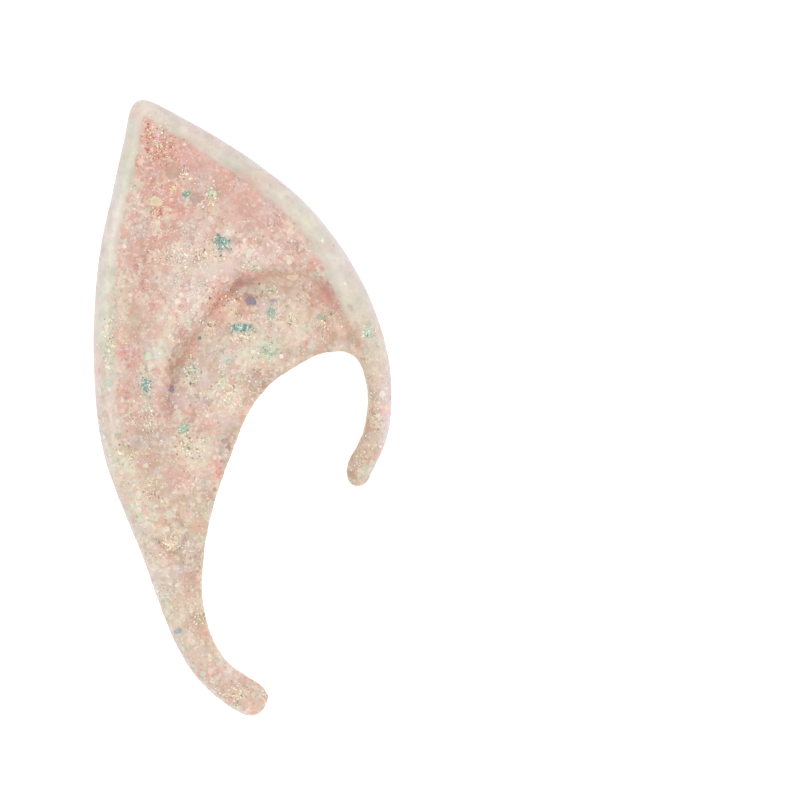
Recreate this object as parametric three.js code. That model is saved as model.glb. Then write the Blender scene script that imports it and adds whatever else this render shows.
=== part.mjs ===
// A slip-on elf ear tip, cast in one piece from soft latex: a pointed front face with a rolled rim and a
// curved ridge, a back wall, a pocket between them for the top of the wearer's ear, and two solid hooks that
// curl round it. It lies on its back: X runs across the ear, Y from the lower hook up to the point, and Z up
// from the surface it lies on. Sizes are in millimetres.
import * as THREE from "three";

// Overall sizes
const EAR_LENGTH = 120; // from the lower hook to the point
const EAR_WIDTH = 58; // from the back edge to the front hook
const BODY_DEPTH = 10.5; // from the back wall to the rim's crest, where the ear is thickest

// Walls and edges
const WALL = 1.6; // the latex, front and back of the pocket
const RIM_WIDTH = 5.2; // the rolled rim, from the outline to the groove inside it
const RIM_SEAT = 0.42; // height of the outline, as a share of the depth there
const BACK_ROUND = 4.5; // how far in from the outline the back wall rounds up to it
const LIP_ROLL = 4; // the face rolls over towards the pocket's mouth within this distance
const LIP_DROP = 1.5; // and comes down by this much
const LIP_SETBACK = 2.5; // the back wall stops short of the front one by this much
const POCKET_END = 5; // solid latex between the outline and the pocket
const POCKET_LEAST = 1.2; // the pocket ends where its walls would come closer than this
const CEILING_REACH = [-0.1, -0.05, 0, 0.05, 0.1]; // shares of a section over which its ceiling stays low
const POCKET_BLUNT = 0.7; // the shape of the pocket's section: 1 and 1 would make it half an ellipse, and
const POCKET_FLAT = 0.35; // less makes its end blunter, and its floor and ceiling flatter

// Relief of the front face
const GROOVE_DEPTH = 2.2; // the groove inside the rim, below the rim's crest
const FACE_SPAN = 7.5; // the face climbs out of the groove over this distance
const FACE_RISE = 1.9; // and by this much
const RIDGE_RISE = 1.5; // the curved ridge across the face, above it
const RIDGE_SPREAD = 4.2; // half the ridge's width
const RIDGE_OFFSET = 5; // from the fold to the ridge's crest
const TRENCH_DEPTH = 3.2; // the fold at the ridge's foot, below the face
const TRENCH_BANK = 1.9; // its steep bank starts this far up the ridge
const TRENCH_FLOOR = 1.7; // its floor lies this far past the fold
const TRENCH_RUNOUT = 11; // and it has levelled out this far past it

// The point of the ear
const TIP_TAPER = 46; // the ear thins over this distance towards its point
const TIP_DEPTH = 0.55; // to this share of its depth

// Round ends of the hooks, as shares of half the hook's width there
const FRONT_HOOK_END = 1.4;
const LOWER_HOOK_END = 1;

// Sections from the front hook, round the point, to the lower hook. Each crosses the ear from its inner edge
// to its outline, and both ends are shares of the ear's width and length, from its lower left corner. depth,
// rim, groove, ridge and trench are shares of BODY_DEPTH, RIM_WIDTH, GROOVE_DEPTH, RIDGE_RISE and
// TRENCH_DEPTH. pocket is how far the pocket opens, from 0 in a solid hook to 1. fold is the share of the
// section, from its inner edge, at which the fold at the ridge's foot crosses it. A row states what sets it
// apart from a hook, from the plain face or from the face where it is at its deepest.
const HOOK = { pocket: 0, rim: 1, groove: 0, fold: 0.5, ridge: 0, trench: 0 };
const FACE = { pocket: 1, rim: 1, groove: 1, ridge: 0, trench: 0 };
const FULL = { ...FACE, depth: 1 };
const SECTIONS = [
  { ...HOOK, outer: [0.932, 0.394], inner: [0.847, 0.404], depth: 0.5 },
  { ...HOOK, outer: [0.957, 0.418], inner: [0.859, 0.421], depth: 0.52 },
  { ...HOOK, outer: [0.976, 0.437], inner: [0.885, 0.439], depth: 0.54 },
  { ...HOOK, outer: [0.989, 0.46], inner: [0.903, 0.46], depth: 0.56 },
  { ...HOOK, outer: [0.998, 0.492], inner: [0.916, 0.492], depth: 0.58 },
  { ...HOOK, outer: [0.999, 0.533], inner: [0.917, 0.527], depth: 0.61 },
  { ...HOOK, outer: [0.993, 0.566], inner: [0.904, 0.556], depth: 0.66 },
  { ...HOOK, outer: [0.979, 0.6], inner: [0.887, 0.574], depth: 0.73, pocket: 0.08, fold: 0.4, trench: 0.12 },
  { ...HOOK, outer: [0.952, 0.645], inner: [0.861, 0.586], depth: 0.82, pocket: 0.25, fold: 0.4, trench: 0.45 },
  { ...FACE, outer: [0.907, 0.697], inner: [0.825, 0.59], depth: 0.9, pocket: 0.5, fold: 0.42, trench: 0.8 },
  { ...FACE, outer: [0.822, 0.766], inner: [0.78, 0.587], depth: 0.96, pocket: 0.8, fold: 0.6, trench: 0.85 },
  { ...FULL, outer: [0.704, 0.834], inner: [0.738, 0.579], fold: 0.578, ridge: 0.2, trench: 0.75 },
  { ...FULL, outer: [0.551, 0.894], inner: [0.697, 0.567], fold: 0.505, ridge: 0.5, trench: 0.8 },
  { ...FULL, outer: [0.375, 0.949], inner: [0.655, 0.554], fold: 0.445, ridge: 0.75, trench: 0.95, rim: 0.92 },
  { ...FULL, outer: [0.234, 0.986], inner: [0.62, 0.542], fold: 0.395, ridge: 0.88, trench: 1, rim: 0.86 },
  { ...FULL, outer: [0.184, 0.999], inner: [0.603, 0.535], fold: 0.373, ridge: 0.92, trench: 1, rim: 0.84 },
  { ...FULL, outer: [0.149, 1], inner: [0.589, 0.529], fold: 0.364, ridge: 0.94, trench: 1, rim: 0.84 },
  { ...FULL, outer: [0.124, 0.989], inner: [0.576, 0.522], fold: 0.364, ridge: 0.96, trench: 1, rim: 0.82 },
  { ...FULL, outer: [0.103, 0.94], inner: [0.55, 0.507], fold: 0.382, ridge: 1, trench: 0.96, rim: 0.8 },
  { ...FULL, outer: [0.063, 0.85], inner: [0.521, 0.485], fold: 0.412, ridge: 1, trench: 0.9, rim: 0.78 },
  { ...FULL, outer: [0.021, 0.752], inner: [0.493, 0.455], fold: 0.448, ridge: 0.95, trench: 0.8, rim: 0.86 },
  { ...FULL, outer: [0.001, 0.65], inner: [0.468, 0.423], fold: 0.468, ridge: 0.8, trench: 0.68 },
  { ...FULL, outer: [0, 0.565], inner: [0.448, 0.398], fold: 0.487, ridge: 0.6, trench: 0.45, rim: 1.1 },
  { ...FACE, outer: [0.012, 0.483], inner: [0.427, 0.37], depth: 0.96, fold: 0.515, ridge: 0.35, trench: 0.2 },
  { ...FACE, outer: [0.042, 0.408], inner: [0.404, 0.335], depth: 0.9, pocket: 0.9, groove: 0.75, fold: 0.54 },
  { ...FACE, outer: [0.088, 0.347], inner: [0.386, 0.302], depth: 0.82, pocket: 0.65, groove: 0.3, fold: 0.55 },
  { ...HOOK, outer: [0.157, 0.265], inner: [0.367, 0.25], depth: 0.7, pocket: 0.3 },
  { ...HOOK, outer: [0.217, 0.185], inner: [0.364, 0.194], depth: 0.6 },
  { ...HOOK, outer: [0.275, 0.115], inner: [0.394, 0.13], depth: 0.56 },
  { ...HOOK, outer: [0.353, 0.057], inner: [0.45, 0.087], depth: 0.54 },
  { ...HOOK, outer: [0.436, 0.02], inner: [0.505, 0.067], depth: 0.54 },
  { ...HOOK, outer: [0.495, 0.003], inner: [0.555, 0.052], depth: 0.54 },
];
const FADING_COLUMNS = ["depth", "pocket", "rim", "groove", "fold", "ridge", "trench"];

// How far the pocket has to open before each of these sets in, and is complete
const HOOK_FLATTENS = [0, 0.25]; // the hook's round inner side
const WALLS_PART = [0.35, 0.45]; // the walls either side of the pocket
const POCKET_DEEPENS = [0.35, 1];
const FACE_OPENS = [0, 0.5]; // the face, flat up to the mouth instead of round

// Fineness of the faceting
const STATION_STEP = 2.3; // between sections, along the outline
const END_SECTIONS = 4; // in the round end of a hook
const FACE_POINTS = [4, 3, 4, 2, 5, 3]; // across the face, between the guides of a section
const GUIDES_APART = 0.02; // the least share of a section between two guides
const PLAIN_LENGTH = 9; // a section this long has its points spread evenly round an oval
const GUIDED_LENGTH = 19; // and one this long has them gathered at the guides
const RIM_POINTS = 5; // from the rim's crest to the outline
const BACK_POINTS = 10; // across the back
const POCKET_POINTS = 17; // round the pocket, or round a hook's inner side
const BOW = THREE.MathUtils.degToRad(55); // how far round a hook's inner side those reach, up and down
const SEARCH_STEPS = 40; // for finding where a section meets the rim, the fold or the pocket's end

const mix = THREE.MathUtils.lerp;
const smooth = THREE.MathUtils.smoothstep;

// Height of a quarter circle, x being how far in from its edge, as a share of its radius
function quarter(x) {
  const left = 1 - THREE.MathUtils.clamp(x, 0, 1);
  return Math.sqrt(1 - left * left);
}

const place = ([across, along]) =>
  new THREE.Vector3((across - 0.5) * EAR_WIDTH, (along - 0.5) * EAR_LENGTH, 0);

const curveThrough = (points) => new THREE.CatmullRomCurve3(points, false, "centripetal");

const crossing = (section, share) => section.inner.clone().lerp(section.outer, share);

// The sections of the table and, between them, more of them a step apart
function tableSections() {
  const outer = curveThrough(SECTIONS.map((row) => place(row.outer)));
  const inner = curveThrough(SECTIONS.map((row) => place(row.inner)));
  const last = SECTIONS.length - 1;
  const sections = [];
  SECTIONS.forEach((row, number) => {
    const next = SECTIONS[Math.min(number + 1, last)];
    const run = (end) => place(row[end]).distanceTo(place(next[end]));
    const steps = Math.max(1, Math.round(Math.max(run("outer"), run("inner")) / STATION_STEP));
    for (let step = 0; step < (number < last ? steps : 1); step++) {
      const along = (number + step / steps) / last;
      const section = { outer: outer.getPoint(along), inner: inner.getPoint(along) };
      for (const name of FADING_COLUMNS) section[name] = mix(row[name], next[name], step / steps);
      section.length = section.outer.distanceTo(section.inner);
      sections.push(section);
    }
  });
  return sections;
}

// The sections of a hook's round end, outwards from its last full section, and the point that it closes on
function roundEnd(end, before, stretch) {
  const middle = crossing(end, 0.5);
  const half = end.outer.clone().sub(middle);
  const out = new THREE.Vector3(-half.y, half.x, 0);
  if (out.dot(crossing(before, 0.5).sub(middle)) > 0) out.negate();
  const at = (angle) => middle.clone().addScaledVector(out, Math.sin(angle) * stretch);
  const sections = [];
  for (let step = 1; step <= END_SECTIONS; step++) {
    const angle = (step / (END_SECTIONS + 0.5)) * (Math.PI / 2);
    const reach = half.clone().multiplyScalar(Math.cos(angle));
    sections.push({ ...end, outer: at(angle).add(reach), inner: at(angle).sub(reach) });
  }
  return { sections, point: at(Math.PI / 2), height: RIM_SEAT * BODY_DEPTH * end.depth };
}

const FULL_SECTIONS = tableSections();
const FRONT_END = roundEnd(FULL_SECTIONS[0], FULL_SECTIONS[1], FRONT_HOOK_END);
const LOWER_END = roundEnd(FULL_SECTIONS.at(-1), FULL_SECTIONS.at(-2), LOWER_HOOK_END);
const EAR_SECTIONS = [...FRONT_END.sections.reverse(), ...FULL_SECTIONS, ...LOWER_END.sections];
const OUTLINE = [FRONT_END.point, ...EAR_SECTIONS.map((section) => section.outer), LOWER_END.point];
const INNER_EDGE = [FRONT_END.point, ...EAR_SECTIONS.map((section) => section.inner), LOWER_END.point];
const FOLD_LINE = FULL_SECTIONS.map((section) => crossing(section, section.fold));
const TIP = OUTLINE.reduce((best, point) => (point.y > best.y ? point : best));

// The nearest point of a line: how far off it is, to the right of the line or to its left, and where
function nearest(line, at) {
  let found = { distance: Infinity };
  for (let i = 0; i < line.length - 1; i++) {
    const run = line[i + 1].clone().sub(line[i]);
    const gap = at.clone().sub(line[i]);
    const share = THREE.MathUtils.clamp(gap.dot(run) / run.lengthSq(), 0, 1);
    gap.addScaledVector(run, -share);
    const distance = gap.length();
    if (distance < found.distance) {
      found = { distance, right: Math.sign(gap.x * run.y - gap.y * run.x) || 1, number: i, share };
    }
  }
  return found;
}

const fromOutline = (at) => nearest(OUTLINE, at).distance;

// How far a spot lies up the ridge from the fold, negative in the hollow below it
function fromFold(at) {
  const { distance, right } = nearest(FOLD_LINE, at);
  return distance * right;
}

// The height that the ridge and the fold at its foot add to the face
function ridgeAndFold(at) {
  const { distance, right, number, share } = nearest(FOLD_LINE, at);
  const up = distance * right;
  const [here, next] = FULL_SECTIONS.slice(number, number + 2);
  const crest = Math.exp(-(((up - RIDGE_OFFSET) / RIDGE_SPREAD) ** 2));
  const bank = 1 - smooth(up, -TRENCH_FLOOR, TRENCH_BANK);
  const runout = 1 - smooth(-up, TRENCH_FLOOR, TRENCH_RUNOUT);
  return (
    RIDGE_RISE * mix(here.ridge, next.ridge, share) * crest -
    TRENCH_DEPTH * mix(here.trench, next.trench, share) * bank * runout
  );
}

// Depth of the ear at one spot of a section, which thins towards the point
function depthAt(section, at) {
  return BODY_DEPTH * section.depth * mix(TIP_DEPTH, 1, smooth(at.distanceTo(TIP), 0, TIP_TAPER));
}

// Height of the front at one spot of a section
function front(section, share) {
  const at = crossing(section, share);
  const depth = depthAt(section, at);
  const inFromOutline = fromOutline(at);
  const inFromMouth = nearest(INNER_EDGE, at).distance;
  const rimWidth = RIM_WIDTH * section.rim;
  const inside = smooth(inFromOutline, rimWidth / 2, rimWidth);
  const face = FACE_RISE * smooth(inFromOutline, rimWidth, rimWidth + FACE_SPAN) - GROOVE_DEPTH * inside;
  const relief = face * section.groove + ridgeAndFold(at) * inside;
  const top = depth + relief * (depth / BODY_DEPTH);
  const seat = RIM_SEAT * depth;
  const rim = seat + (top - seat) * quarter(inFromOutline / Math.min(rimWidth / 2, section.length / 2));
  const lip = quarter(inFromMouth / mix(section.length / 2, LIP_ROLL, section.pocket));
  return mix(mix(seat, rim, lip), rim - LIP_DROP * (1 - lip), smooth(section.pocket, ...FACE_OPENS));
}

// Height of the back at one spot of a section
function back(section, share) {
  const at = crossing(section, share);
  const rim = quarter(fromOutline(at) / Math.min(BACK_ROUND, section.length / 2));
  const lip = quarter(nearest(INNER_EDGE, at).distance / (section.length / 2));
  const seat = RIM_SEAT * depthAt(section, at);
  return seat * (1 - rim * mix(lip, 1, smooth(section.pocket, ...FACE_OPENS)));
}

// The share of a section at which a rising measure of its spots reaches a target
function shareWhere(section, measure, target) {
  let low = 0;
  let high = 1;
  for (let step = 0; step < SEARCH_STEPS; step++) {
    const middle = (low + high) / 2;
    if (measure(crossing(section, middle)) < target) low = middle;
    else high = middle;
  }
  return low;
}

// Shares of a section at which its points lie, from its inner edge to its outline. On a hook they go round
// an oval; on the body they gather at the fold and the rim, so that the faces follow both.
function faceShares(section, start) {
  const outward = (at) => -fromOutline(at);
  const rimWidth = RIM_WIDTH * section.rim;
  const guides = [
    start,
    shareWhere(section, fromFold, -TRENCH_RUNOUT / 2),
    shareWhere(section, fromFold, -TRENCH_FLOOR),
    shareWhere(section, fromFold, TRENCH_BANK),
    shareWhere(section, fromFold, RIDGE_OFFSET),
    shareWhere(section, outward, -rimWidth),
    shareWhere(section, outward, -rimWidth / 2),
  ];
  for (let i = guides.length - 1; i > 0; i--) {
    guides[i] = Math.min(guides[i], (guides[i + 1] ?? 1) - GUIDES_APART);
  }
  for (let i = 1; i < guides.length; i++) {
    guides[i] = Math.max(guides[i], guides[i - 1] + GUIDES_APART);
  }
  const guided = FACE_POINTS.flatMap((count, i) =>
    Array.from({ length: count }, (_, step) => mix(guides[i], guides[i + 1], step / count)),
  );
  for (let step = 0; step <= RIM_POINTS; step++) {
    guided.push(mix(guides.at(-1), 1, Math.sin((step / RIM_POINTS) * (Math.PI / 2))));
  }
  const first = Math.acos(1 - 2 * start);
  const oval = guided.map((_, i) => (1 - Math.cos(mix(first, Math.PI, i / (guided.length - 1)))) / 2);
  return guided.map((share, i) => mix(oval[i], share, smooth(section.length, PLAIN_LENGTH, GUIDED_LENGTH)));
}

// Height of the pocket's ceiling, a wall below the lowest of the face close by
function ceiling(section, share) {
  const near = CEILING_REACH.map((reach) => THREE.MathUtils.clamp(share + reach, 0, 1));
  return Math.min(...near.map((spot) => front(section, spot))) - WALL;
}

// How deep the pocket reaches into a section: to the rim, or to where its walls would come too close
function pocketReach(section) {
  const rim = shareWhere(section, (at) => -fromOutline(at), -POCKET_END);
  for (let step = 1; step <= SEARCH_STEPS; step++) {
    const share = (step / SEARCH_STEPS) * rim;
    if (ceiling(section, share) - back(section, share) - WALL < POCKET_LEAST) {
      return ((step - 1) / SEARCH_STEPS) * rim;
    }
  }
  return rim;
}

// One closed section: over the face from its inner edge, round the outline, back underneath, and round the
// inner edge, which bulges on a hook and turns in to make the pocket on the body
function sectionLoop(section) {
  const round = 1 - smooth(section.pocket, ...HOOK_FLATTENS);
  const walls = smooth(section.pocket, ...WALLS_PART);
  const deep = smooth(section.pocket, ...POCKET_DEEPENS);
  const bulge = (up) => (1 - Math.cos(up * BOW * round)) / 2;
  const setback = (LIP_SETBACK / section.length) * deep;
  const reach = pocketReach(section) * deep;
  const loop = [];
  const add = (share, height) => loop.push(crossing(section, share).setZ(height));
  for (const share of faceShares(section, bulge(1))) add(share, front(section, share));
  for (let i = 1; i <= BACK_POINTS; i++) {
    const share = mix(bulge(1) + setback, 1, (1 + Math.cos((i / BACK_POINTS) * Math.PI)) / 2);
    add(share, back(section, share));
  }
  for (let i = 0; i < POCKET_POINTS; i++) {
    // From the back lip, at -1, to the front one
    const up = mix(-1, 1, (i + (1 - walls) / 2) / (POCKET_POINTS - walls));
    const turn = up * (Math.PI / 2);
    const inward = Math.max(0, Math.cos(turn)) ** POCKET_BLUNT;
    const share = bulge(up) + mix((setback * (1 - Math.sin(turn))) / 2, reach, inward);
    const pocketLift = Math.sign(turn) * Math.abs(Math.sin(turn)) ** POCKET_FLAT;
    const lift = (1 + mix(pocketLift, Math.sign(turn), round)) / 2;
    const roof = mix(front(section, share), ceiling(section, share), walls);
    add(share, mix(back(section, share) + WALL * walls, roof, lift));
  }
  return loop;
}

// Joins the loops into one closed body, each end of it drawn together to a point
function skin(loops, firstPoint, lastPoint) {
  const size = loops[0].length;
  const points = [...loops.flat(), firstPoint, lastPoint];
  const faces = [];
  const onRing = (ring, i) => ring * size + (i % size);
  for (let i = 0; i < size; i++) {
    for (let ring = 0; ring < loops.length - 1; ring++) {
      const near = [onRing(ring, i), onRing(ring, i + 1)];
      const far = [onRing(ring + 1, i), onRing(ring + 1, i + 1)];
      faces.push(near[0], near[1], far[1], near[0], far[1], far[0]);
    }
    faces.push(points.length - 2, onRing(0, i + 1), onRing(0, i));
    faces.push(points.length - 1, onRing(loops.length - 1, i), onRing(loops.length - 1, i + 1));
  }
  const geometry = new THREE.BufferGeometry().setFromPoints(points);
  geometry.setIndex(faces);
  geometry.computeVertexNormals();
  return geometry;
}

const latex = new THREE.MeshStandardMaterial({ color: 0xe6c3b6, roughness: 0.38, metalness: 0 });

function earShell() {
  const ends = [FRONT_END, LOWER_END].map((end) => end.point.clone().setZ(end.height));
  const geometry = skin(EAR_SECTIONS.map(sectionLoop), ...ends);
  geometry.computeBoundingBox();
  const middle = geometry.boundingBox.getCenter(new THREE.Vector3());
  geometry.translate(-middle.x, -middle.y, -geometry.boundingBox.min.z);
  const mesh = new THREE.Mesh(geometry, latex);
  mesh.name = "ear_shell";
  return mesh;
}

const ear = new THREE.Group();
ear.add(earShell());

export default ear;
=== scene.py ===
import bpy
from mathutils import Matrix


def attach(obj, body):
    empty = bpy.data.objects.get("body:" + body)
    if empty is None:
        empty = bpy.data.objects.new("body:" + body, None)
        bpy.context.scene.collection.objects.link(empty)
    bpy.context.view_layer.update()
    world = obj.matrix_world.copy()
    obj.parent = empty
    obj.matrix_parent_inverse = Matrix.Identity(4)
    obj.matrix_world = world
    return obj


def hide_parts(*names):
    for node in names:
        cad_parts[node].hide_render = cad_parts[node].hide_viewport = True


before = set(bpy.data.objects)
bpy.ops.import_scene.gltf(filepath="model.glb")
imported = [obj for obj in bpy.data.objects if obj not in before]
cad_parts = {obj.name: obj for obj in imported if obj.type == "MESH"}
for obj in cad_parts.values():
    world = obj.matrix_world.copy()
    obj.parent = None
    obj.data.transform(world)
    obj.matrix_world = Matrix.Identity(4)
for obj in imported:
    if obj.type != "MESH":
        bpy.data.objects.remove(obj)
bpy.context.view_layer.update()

# A slip-on elf ear tip of soft cast latex, milky and full of opal glitter, lying on its back. The latex
# shell is grown from the CAD solid, and the glitter is laid into its skin flake by flake. Sizes are in
# millimetres until a mesh is made.
import math

import bmesh
import bpy
import numpy as np
from mathutils import Vector, noise
from mathutils.bvhtree import BVHTree
from mathutils.kdtree import KDTree

MM = 0.001
FLOOR_GAP = 0.02  # the floor lies this far under the ear, so that the two never share a face

# The ear's own sizes, as in the part's source
EAR_LENGTH = 120
EAR_WIDTH = 58
RIM_WIDTH = 5.2

# The photograph's frame, in pixels, and where the ear lies in it
PHOTO_SIDE = 800
EAR_PIXELS = 618.5  # its length
PIXELS_PER_MM = EAR_PIXELS / EAR_LENGTH
EAR_LEFT_PIXEL = 93
EAR_FOOT_PIXEL = 716.5

# Sections across the ear from the front hook, round the point, to the lower hook, as in the part's
# source. Places are shares of the ear's width and length. The columns are the outline, the inner edge,
# the share of the way across at which the fold lies, the rim's width as a share of RIM_WIDTH, and how
# deep the groove and the fold are, with 1 as the deepest.
OUTLINE, INNER_EDGE, FOLD_AT, RIM_SHARE, GROOVE_DEPTH, FOLD_DEPTH = range(6)
SECTIONS = [
    ((0.932, 0.394), (0.847, 0.404), 0.50, 1.00, 0.00, 0.00),
    ((0.957, 0.418), (0.859, 0.421), 0.50, 1.00, 0.00, 0.00),
    ((0.976, 0.437), (0.885, 0.439), 0.50, 1.00, 0.00, 0.00),
    ((0.989, 0.460), (0.903, 0.460), 0.50, 1.00, 0.00, 0.00),
    ((0.998, 0.492), (0.916, 0.492), 0.50, 1.00, 0.00, 0.00),
    ((0.999, 0.533), (0.917, 0.527), 0.50, 1.00, 0.00, 0.00),
    ((0.993, 0.566), (0.904, 0.556), 0.50, 1.00, 0.10, 0.00),
    ((0.979, 0.600), (0.887, 0.574), 0.40, 1.00, 0.30, 0.12),
    ((0.952, 0.645), (0.861, 0.586), 0.40, 1.00, 0.70, 0.45),
    ((0.907, 0.697), (0.825, 0.590), 0.42, 1.00, 1.00, 0.80),
    ((0.822, 0.766), (0.780, 0.587), 0.60, 1.00, 1.00, 0.85),
    ((0.704, 0.834), (0.738, 0.579), 0.578, 1.00, 1.00, 0.75),
    ((0.551, 0.894), (0.697, 0.567), 0.505, 1.00, 1.00, 0.80),
    ((0.375, 0.949), (0.655, 0.554), 0.445, 0.92, 1.00, 0.95),
    ((0.234, 0.986), (0.620, 0.542), 0.395, 0.86, 1.00, 1.00),
    ((0.184, 0.999), (0.603, 0.535), 0.373, 0.84, 1.00, 1.00),
    ((0.149, 1.000), (0.589, 0.529), 0.364, 0.84, 1.00, 1.00),
    ((0.124, 0.989), (0.576, 0.522), 0.364, 0.82, 1.00, 1.00),
    ((0.103, 0.940), (0.550, 0.507), 0.382, 0.80, 1.00, 0.96),
    ((0.063, 0.850), (0.521, 0.485), 0.412, 0.78, 1.00, 0.90),
    ((0.021, 0.752), (0.493, 0.455), 0.448, 0.86, 1.00, 0.80),
    ((0.001, 0.650), (0.468, 0.423), 0.468, 1.00, 1.00, 0.68),
    ((0.000, 0.565), (0.448, 0.398), 0.487, 1.10, 0.90, 0.45),
    ((0.012, 0.483), (0.427, 0.370), 0.515, 1.00, 0.55, 0.20),
    ((0.042, 0.408), (0.404, 0.335), 0.540, 1.00, 0.25, 0.00),
    ((0.088, 0.347), (0.386, 0.302), 0.550, 1.00, 0.10, 0.00),
    ((0.157, 0.265), (0.367, 0.250), 0.50, 1.00, 0.00, 0.00),
    ((0.217, 0.185), (0.364, 0.194), 0.50, 1.00, 0.00, 0.00),
    ((0.275, 0.115), (0.394, 0.130), 0.50, 1.00, 0.00, 0.00),
    ((0.353, 0.057), (0.450, 0.087), 0.50, 1.00, 0.00, 0.00),
    ((0.436, 0.020), (0.505, 0.067), 0.50, 1.00, 0.00, 0.00),
    ((0.495, 0.003), (0.555, 0.052), 0.50, 1.00, 0.00, 0.00),
]
CURVE_STEPS = 60  # points between two sections, for measuring distances

# The latex's own colours, as they look in plain daylight, and two browns that carry painted shade, in the
# fold and in the creases
LATEX = "#D5C2A6"
UPPER_PINK = "#DAAE9F"
MILK = "#DEDDD0"
MILK_MINT = "#D8DEC6"
MILK_LILAC = "#D6CACE"
EDGE_LILAC = "#CFC4CA"
PINK = "#E0A79D"
ROSE = "#D89C92"
CORAL = "#E48479"
SALMON = "#DB9E88"
SHADED_BROWN_PINK = "#C98878"
TAN = "#C9AB90"
GREY_PINK = "#D2BCB2"
PALE_PINK = "#E8D0C4"
CREAM = "#E9DCC2"
MINT = "#C9DBBB"
LIP_TAN = "#C9B193"
CREASE_SHADE_BROWN = "#A9806B"
LOWER_TAN = "#B8A383"
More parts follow.
